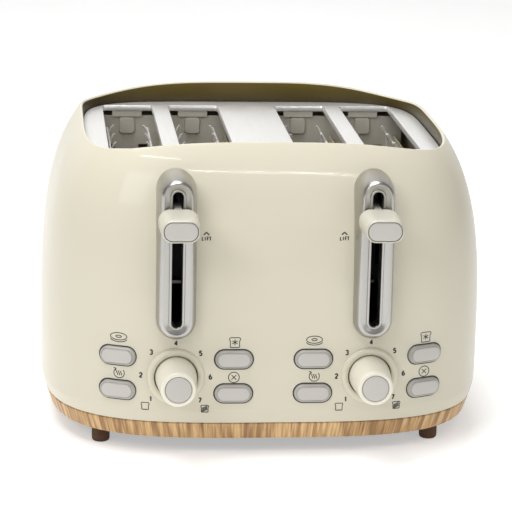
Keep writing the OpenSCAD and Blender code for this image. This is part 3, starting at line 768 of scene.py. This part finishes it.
def build_dials():
    for side, s in SIDES.items():
        place = at_front(s * DIAL_X, DIAL_Z)
        r, front = DIAL_RING_R, 151.2
        ring = [(r, -144), (r, -148.9)]
        ring += [(r - 2.6 + 2.6 * math.cos(math.radians(a)), -(front - 2.2) - 2.2 * math.sin(math.radians(a)))
                 for a in range(10, 91, 10)]
        ring += [(r - 3.3, -front + 0.15), (r - 4.0, -front + 0.55), (KNOB_R + 0.95, -front + 1.0),
                 (KNOB_R + 0.72, -front + 1.3), (KNOB_R + 0.7, -front + 2.2), (KNOB_R + 0.7, -144)]
        rings = []
        for radius, depth in ring:
            angles = [2 * math.pi * j / 144 for j in range(144)]
            rings.append([place(radius * math.cos(a), radius * math.sin(a), depth) for a in angles])
        piece(f"ring_{side}", [loft(rings, closed_chain=True)], "chassis", ENAMEL,
              [f"dial_ring_{side}"], 50)
        f = KNOB_FRONT
        r0, r1 = KNOB_R, KNOB_FRONT_R
        knob = [(0, -KNOB_BACK), (r0 - 0.4, -KNOB_BACK), (r0, -KNOB_BACK - 0.4), (r0, -150),
                (r0 - 0.12, -151.2)]
        knob += [(r0 - 0.2 + (r1 + 0.4 - r0 + 0.2) * k / 6, -152 - (f - 2.6 - 152) * k / 6)
                 for k in range(1, 7)]
        knob += [(r1 - 1.6 + 1.9 * math.cos(math.radians(a)), -(f - 1.9) - 1.9 * math.sin(math.radians(a)))
                 for a in range(10, 91, 10)]
        knob += [(9.45, -f), (9.25, -f + 0.2), (9.2, -f + 2.2), (0, -f + 2.2)]
        piece(f"knob_{side}", [lathe(knob, place, 144)], f"dial_{side}", CREAM_PLASTIC,
              [f"dial_knob_{side}"], 50)
        cap = [(0, -f + 2.1), (8.85, -f + 2.1), (8.85, -f + 0.25), (8.75, -f + 0.02), (8.5, -f - 0.12),
               (7, -f - 0.28), (4, -f - 0.42), (0, -f - 0.48)]
        piece(f"knob_cap_{side}", [lathe(cap, place, 144)], f"dial_{side}", BUTTON_SILVER,
              [f"dial_cap_{side}"], 50)


# ---- buttons ----

# Faces that turn further than this from straight out belong to a button's rim, which takes a darker copy of
# the button's silver: painted shade.
RIM_FACING = 0.93
BUTTONS = {
    "bagel": (-1, BUTTON_HI), "reheat": (-1, BUTTON_LO),
    "defrost": (1, BUTTON_HI), "cancel": (1, BUTTON_LO)}


def button_part(x, z):
    """Pill with a sloping rim, a fine groove and a smooth inset face."""
    place = at_front(x, z, front_y(x, z), button_tilt(x))
    profile = [(2.5, 6), (0.3, 6), (0, 5.7), (0, -0.7), (0.12, -1.1), (0.35, -1.5), (0.65, -1.95),
               (0.9, -2.2), (1.1, -2.3), (1.25, -2.25), (1.32, -2.0), (1.48, -2.0), (1.56, -2.45),
               (1.75, -2.7), (2.1, -2.84), (3.0, -2.93), (4.4, -2.98), (5.4, -3.0)]
    rings = []
    for inset, depth in profile:
        ring = pill_ring(BUTTON_W - 2 * inset, BUTTON_H - 2 * inset, 20)
        rings.append([place(u, v, depth) for u, v in ring])
    return loft(rings, True, True)


def gap_shadow_ring_part(x, z):
    """Dark ring that lines a button's opening and laps onto the shell, following the shell's curve: painted
    shadow of the gap round the button.
    """
    place = at_front(x, z, front_y(x, z), button_tilt(x))
    profile = [(1.9, 0.02), (1.7, -0.14), (1.3, -0.2), (0.5, -0.2), (0.15, -0.05), (0.15, 1.6),
               (1.1, 1.6), (1.1, 0.02)]
    rings = []
    for grow, depth in profile:
        ring = []
        for u, v in pill_ring(BUTTON_W + grow, BUTTON_H + grow, 20):
            px, _, pz = place(u, v, 0)
            ring.append((px, front_y(px, pz) + depth, pz))
        rings.append(ring)
    return loft(rings, closed_chain=True)


def build_buttons():
    gap_shadow_rings = []
    for side, s in SIDES.items():
        for name, (k, z) in BUTTONS.items():
            x = s * DIAL_X + k * BUTTON_DX
            gap_shadow_rings.append(gap_shadow_ring_part(x, z))
            body = f"button_{name}_{side}"
            stem = slab(pill_ring(5, 4, 8, 3), at_front(x, z, front_y(x, z), button_tilt(x)), 5.9, 8.5)
            push = piece(f"push_{name}_{side}", [button_part(x, z), stem], body,
                         BUTTON_SILVER, [body], 38)
            # Rim faces take the darker copy of the silver: painted shade.
            push.data.materials.append(BUTTON_RIM_SHADE)
            tilt = button_tilt(x)
            outward = Vector((math.sin(tilt), -math.cos(tilt), 0))
            for polygon in push.data.polygons:
                if polygon.normal.dot(outward) < RIM_FACING:
                    polygon.material_index = 1
    # The dark rings round the buttons are painted shadow of the gaps.
    piece("button_gap_shadows", gap_shadow_rings, "chassis", BLACK_PLASTIC, (), 50)


# ---- printed marks ----


def arc_line(cx, cz, rx, rz, a0, a1, steps):
    points = []
    for i in range(steps + 1):
        a = math.radians(a0 + (a1 - a0) * i / steps)
        points.append((cx + rx * math.cos(a), cz + rz * math.sin(a)))
    return points


def stroke(points, width, x0, z0, scale=1.0):
    """A raised ribbon along points (u, v), laid on the shell's front round (x0, z0)."""
    fine = []
    for (ax, az), (bx, bz) in zip(points, points[1:]):
        count = max(1, math.ceil(math.hypot(bx - ax, bz - az) * scale / 0.7))
        fine += [(ax + (bx - ax) * i / count, az + (bz - az) * i / count) for i in range(count)]
    fine.append(points[-1])
    closed = math.dist(points[0], points[-1]) < 1e-6
    rings = []
    last = len(fine) - 1
    for i, (u, v) in enumerate(fine):
        before = fine[i - 1] if i > 0 else fine[last - 1] if closed else fine[0]
        after = fine[i + 1] if i < last else fine[1] if closed else fine[last]
        du, dv = after[0] - before[0], after[1] - before[1]
        length = math.hypot(du, dv)
        nu, nv = -dv / length * width / 2, du / length * width / 2
        cu, cv = x0 + u * scale, z0 + v * scale
        left, right = (cu + nu, cv + nv), (cu - nu, cv - nv)
        corners = ((left, -0.05), (right, -0.05), (right, 0.05), (left, 0.05))
        rings.append([(p[0], front_y(*p) + depth, p[1]) for p, depth in corners])
    return loft(rings[:-1] if closed else rings, not closed, not closed, closed)


DIGITS = {
    "1": [[(-0.30, 0.62), (0.06, 1.0), (0.06, -1.0)]],
    "2": [arc_line(0, 0.42, 0.52, 0.58, 165, -25, 9) + [(-0.52, -1.0), (0.56, -1.0)]],
    "3": [arc_line(-0.03, 0.48, 0.50, 0.50, 150, -80, 9) + arc_line(-0.03, -0.5, 0.55, 0.52, 80, -150, 9)],
    "4": [[(0.25, -1.0), (0.25, 1.0), (-0.58, -0.42), (0.6, -0.42)]],
    "5": [[(0.5, 1.0), (-0.38, 1.0), (-0.46, 0.1)] + arc_line(-0.02, -0.38, 0.55, 0.6, 125, -150, 10)],
    "6": [arc_line(0.45, -0.25, 0.97, 1.28, 100, 178, 6) + arc_line(0, -0.42, 0.52, 0.56, 180, 540, 14)],
    "7": [[(-0.54, 1.0), (0.54, 1.0), (-0.14, -1.0)]],
}
LETTERS = {
    "L": [[(-0.3, 1), (-0.3, -1), (0.45, -1)]],
    "I": [[(0, 1), (0, -1)]],
    "F": [[(0.5, 1), (-0.3, 1), (-0.3, -1)], [(-0.3, 0.05), (0.35, 0.05)]],
    "T": [[(-0.55, 1), (0.55, 1)], [(0, 1), (0, -1)]],
}


def bread_outline():
    """A slice of bread: two rounded shoulders over a straight body."""
    left = arc_line(-2.5, 2.1, 1.3, 1.2, 90, 240, 7)
    right = arc_line(2.5, 2.1, 1.3, 1.2, -60, 90, 7)
    return [(0, 3.3)] + left + [(-3.1, -3.6), (3.1, -3.6)] + right + [(0, 3.3)]


def snowflake(size):
    lines = []
    for k in range(3):
        a = math.radians(90 + 60 * k)
        u, v = size * math.cos(a), size * math.sin(a)
        lines.append([(-u, -v), (u, v)])
    return lines


def wave(u, height):
    """A steam line: a tall narrow S."""
    return [(u + 0.45 * math.sin(2 * math.pi * i / 10), height * (i / 10 - 0.5)) for i in range(11)]


def circle(r, flat=1.0):
    return arc_line(0, 0, r, r * flat, 0, 360, 32)


def cross(size):
    return [[(-size, -size), (size, size)], [(-size, size), (size, -size)]]


ICONS = {
    "bagel": [circle(5.6, 0.46), circle(1.9, 0.42), arc_line(0, -1.6, 5.6, 2.3, 186, 354, 16)],
    "reheat": [arc_line(0, 0, 3.9, 3.9, 128, 400, 24), [(-4.1, 3.9), (-2.2, 3.3), (-2.9, 1.5)],
               wave(-1.5, 3.4), wave(0, 3.8), wave(1.5, 3.4)],
    "defrost": [bread_outline()] + snowflake(2.1),
    "cancel": [circle(3.9)] + cross(1.7),
    "light": [bread_outline()],
    "dark": [bread_outline()] + [[(-2.5, v), (2.5, v + 2.4)] for v in (-3.0, -1.9, -0.8, 0.3)],
}


BUTTON_ICONS = {
    "bagel": (-1, BUTTON_HI, 0.4, 13.6, 0.98), "reheat": (-1, BUTTON_LO, 0.9, 11.8, 0.9),
    "defrost": (1, BUTTON_HI, 0.5, 12.0, 1.0), "cancel": (1, BUTTON_LO, 0.2, 11.4, 0.95)}


def glyph(strokes, width, x, z, scale):
    return [stroke(points, width, x, z, scale) for points in strokes]


def build_marks():
    parts = []
    for s in SIDES.values():
        for i in range(7):
            a = math.radians(225 - 45 * i)
            x, z = s * DIAL_X + 23.6 * math.cos(a) + 0.2 + 0.4 * s, DIAL_Z + 23.6 * math.sin(a)
            parts += glyph(DIGITS[str(i + 1)], 0.98, x, z, 1.55)
        parts += glyph(ICONS["light"], 0.55, s * DIAL_X - 20.6, DIAL_Z - 21.9, 0.72)
        parts += glyph(ICONS["dark"], 0.55, s * DIAL_X + 19.9, DIAL_Z - 22.6, 0.72)
        for name, (k, z, du, up, size) in BUTTON_ICONS.items():
            parts += glyph(ICONS[name], 0.58, s * DIAL_X + k * BUTTON_DX + du, z + up, size)
        x, z = s * (LEVER_X - 20.2), 154.5
        for k, letter in enumerate("LIFT"):
            parts += glyph(LETTERS[letter], 0.68, x + (k - 1.5) * 1.7, z, 1.12)
        parts += glyph([[(-1.9, -0.8), (0, 0.9), (1.9, -0.8)]], 0.85, x, z + 3.3, 1.0)
    piece("printed_marks", parts, "chassis", INK, (), 60)


# ---- inside ----


def wire_object(name, lines, body, replaces):
    """Round wires along lines of (points, radius), as one mesh."""
    parts = []
    for points, radius in lines:
        curve = bpy.data.curves.new("wire", "CURVE")
        curve.dimensions = "3D"
        curve.bevel_depth = radius * MM
        curve.bevel_resolution = 3
        curve.use_fill_caps = True
        spline = curve.splines.new("BEZIER" if len(points) > 2 else "POLY")
        if len(points) > 2:
            spline.bezier_points.add(len(points) - 1)
            for knot, p in zip(spline.bezier_points, points):
                knot.co = Vector(p) * MM
                knot.handle_left_type = knot.handle_right_type = "AUTO"
        else:
            spline.points.add(len(points) - 1)
            for knot, p in zip(spline.points, points):
                knot.co = (*(Vector(p) * MM), 1)
        parts.append(add_object("wire", curve))
    bpy.context.view_layer.update()
    graph = bpy.context.evaluated_depsgraph_get()
    work = bmesh.new()
    for obj in parts:
        mesh = bpy.data.meshes.new_from_object(obj.evaluated_get(graph))
        work.from_mesh(mesh)
        bpy.data.meshes.remove(mesh)
    for obj in parts:
        bpy.data.objects.remove(obj)
    bmesh.ops.remove_doubles(work, verts=work.verts, dist=1e-7)
    bmesh.ops.recalc_face_normals(work, faces=work.faces)
    mesh = bpy.data.meshes.new(name)
    work.to_mesh(mesh)
    work.free()
    smooth(mesh, 50)
    return finish_piece(add_object(name, mesh), body, WIRE, replaces)


def build_guards():
    first, last = FRONT_PLATE_Y + 10, REAR_PLATE_Y - 8
    number = 0
    for x in SLOT_X:
        for e in (-1, 1):
            number += 1
            x0 = x + e * GUARD_DX
            lines = [([(x0, FRONT_PLATE_Y - 2, GUARD_LO), (x0, REAR_PLATE_Y + 3, GUARD_LO)], 1.2)]
            lines += [([(x0, first, z), (x0, last, z)], WIRE_R - 0.05) for z in (80, 158)]
            rail_x, rail_z = x0 - e * 0.2, GUARD_HI - 7
            lines.append(([(rail_x, first, rail_z), (rail_x, last, rail_z)], WIRE_R - 0.05))
            y = first + 4
            while y <= last:
                top = GUARD_HI - 0.9
                lines.append(([(x0, y, GUARD_LO), (x0, y, 120), (x0, y, top - 12), (x0 - e * 0.6, y, top - 7),
                               (x0 - e * 2.4, y, top - 2.5), (x0 - e * 4.2, y, top)], WIRE_R - 0.05))
                y += HOOK_STEP
            name = f"bread_guard_{number}"
            wire_object(f"guard_wires_{number}", lines, name, [name])


def softened(node, body, material, width=0.3):
    """The CAD node's own shape with small rounded edges."""
    source = frame["nodes"][node]
    obj = add_object(f"{node}_finished", source.data.copy())
    finish_piece(obj, body, material, [node])
    edge = obj.modifiers.new("edges", "BEVEL")
    edge.width = width * MM
    edge.segments = 2
    edge.limit_method = "ANGLE"
    edge.angle_limit = math.radians(40)
    edge.harden_normals = False
    return obj


FINISHES = {
    "cream_enamel": ENAMEL, "cream_plastic": CREAM_PLASTIC, "satin_metal": DECK_METAL,
    "button_silver": BUTTON_SILVER, "oak": OAK, "brown_rubber": RUBBER, "black_steel": BLACK_STEEL,
    "plated_steel": PLATED, "bright_wire": WIRE, "mica": MICA, "copper_coil": COPPER,
    "board_green": BOARD, "black_plastic": BLACK_PLASTIC, "white_ceramic": CERAMIC}


def dress_cad_nodes():
    """Every node that still shows takes the finish that the record names for it; the lift carriages instead
    take near-black steel, painted shade for the dark inside of the lever slots.
    """
    for part in frame["record"]["subparts"]:
        material = CARRIAGE_SHADE_STEEL if part["node"].startswith("lift_carriage") else FINISHES[part["material_slot"]]
        obj = frame["nodes"][part["node"]]
        if obj.hide_render:
            continue
        obj.data.materials.clear()
        obj.data.materials.append(material)


# ---- stage, lights and camera ----


def build_stage():
    """A pale floor that curves up behind, far from the toaster."""
    profile = [(-3.0, 0.0), (2.2, 0.0)]
    profile += [(2.2 + 0.8 * math.sin(math.radians(a)), 0.8 - 0.8 * math.cos(math.radians(a)))
                for a in range(15, 91, 15)]
    profile.append((3.0, 3.5))
    verts = []
    for x in (-4.0, 4.0):
        verts += [(x, y, z) for y, z in profile]
    n = len(profile)
    faces = [(i, i + 1, n + i + 1, n + i) for i in range(n - 1)]
    mesh = bpy.data.meshes.new("floor")
    mesh.from_pydata(verts, [], faces)
    for polygon in mesh.polygons:
        polygon.use_smooth = True
    f = Finish("pale_floor", roughness=0.75)
    f.color(f.ramp(f.noise(3), [(0.3, (0.78, 0.78, 0.78)), (0.7, (0.81, 0.81, 0.81))]))
    f.shader.inputs["Emission Color"].default_value = (1, 1, 1, 1)
    f.shader.inputs["Emission Strength"].default_value = 0.42
    mesh.materials.append(f.material)
    add_object("floor", mesh)


def area_light(name, place, target, size, power, turn=0.0):
    light = bpy.data.lights.new(name, "AREA")
    light.shape = "RECTANGLE"
    light.size, light.size_y = size
    light.energy = power
    obj = bpy.data.objects.new(name, light)
    obj.location = place
    aim = (Vector(target) - Vector(place)).to_track_quat("-Z", "Y").to_matrix()
    obj.rotation_euler = (aim @ Matrix.Rotation(math.radians(turn), 3, "Z")).to_euler()
    bpy.context.scene.collection.objects.link(obj)


def build_lights():
    world = bpy.data.worlds.new("studio")
    world.use_nodes = True
    world.node_tree.nodes["Background"].inputs["Color"].default_value = (1.0, 0.99, 0.975, 1)
    world.node_tree.nodes["Background"].inputs["Strength"].default_value = 0.22
    bpy.context.scene.world = world
    area_light("key", (-1.3, -1.6, 1.4), (0, 0, 0.12), (0.9, 0.9), 13)
    area_light("fill", (1.3, -1.6, 0.9), (0, 0, 0.1), (1.0, 1.2), 4)
    area_light("top", (-0.3, 0.1, 1.7), (0, 0, 0.1), (1.4, 1.0), 29)
    area_light("strip_front", (0.12, -1.2, 1.2), (0.05, -0.13, 0.19), (0.9, 0.012), 3.4, -12)
    area_light("strip_left", (-0.55, -0.8, 1.52), (-0.06, -0.12, 0.2), (0.7, 0.012), 2.6)


def build_camera():
    """The photograph's viewpoint: pan, tilt and roll in degrees."""
    pan, tilt, roll = (math.radians(a) for a in (5.642, 14.401, -1.295))
    look = Vector((math.sin(pan) * math.cos(tilt), math.cos(pan) * math.cos(tilt), -math.sin(tilt)))
    right = Vector((math.cos(pan), -math.sin(pan), 0))
    down = look.cross(right)
    turned_right = math.cos(roll) * right + math.sin(roll) * down
    turned_down = -math.sin(roll) * right + math.cos(roll) * down
    camera = bpy.data.cameras.new("camera")
    camera.sensor_width = 36
    camera.lens = 2324.4 / 512 * 36
    camera.clip_end = 20
    obj = bpy.data.objects.new("camera", camera)
    axes = Matrix((turned_right, -turned_down, -look)).transposed()
    obj.matrix_world = Matrix.Translation((-0.16258, -1.65649, 0.53277)) @ axes.to_4x4()
    bpy.context.scene.collection.objects.link(obj)
    bpy.context.scene.camera = obj


build_shell()
build_deck()
build_base()
build_levers()
build_dials()
build_buttons()
build_marks()
build_guards()
for side in SIDES:
    softened(f"crumb_tray_{side}", f"crumb_tray_{side}", PLATED, 0.25)
softened("base_pan", "chassis", BLACK_STEEL, 0.25)
softened("chassis_rear_plate", "chassis", SLOT_METAL, 0.3)
dress_cad_nodes()
build_stage()
build_lights()
build_camera()
bpy.context.scene.view_settings.view_transform = "Standard"
bpy.context.scene.view_settings.look = "None"
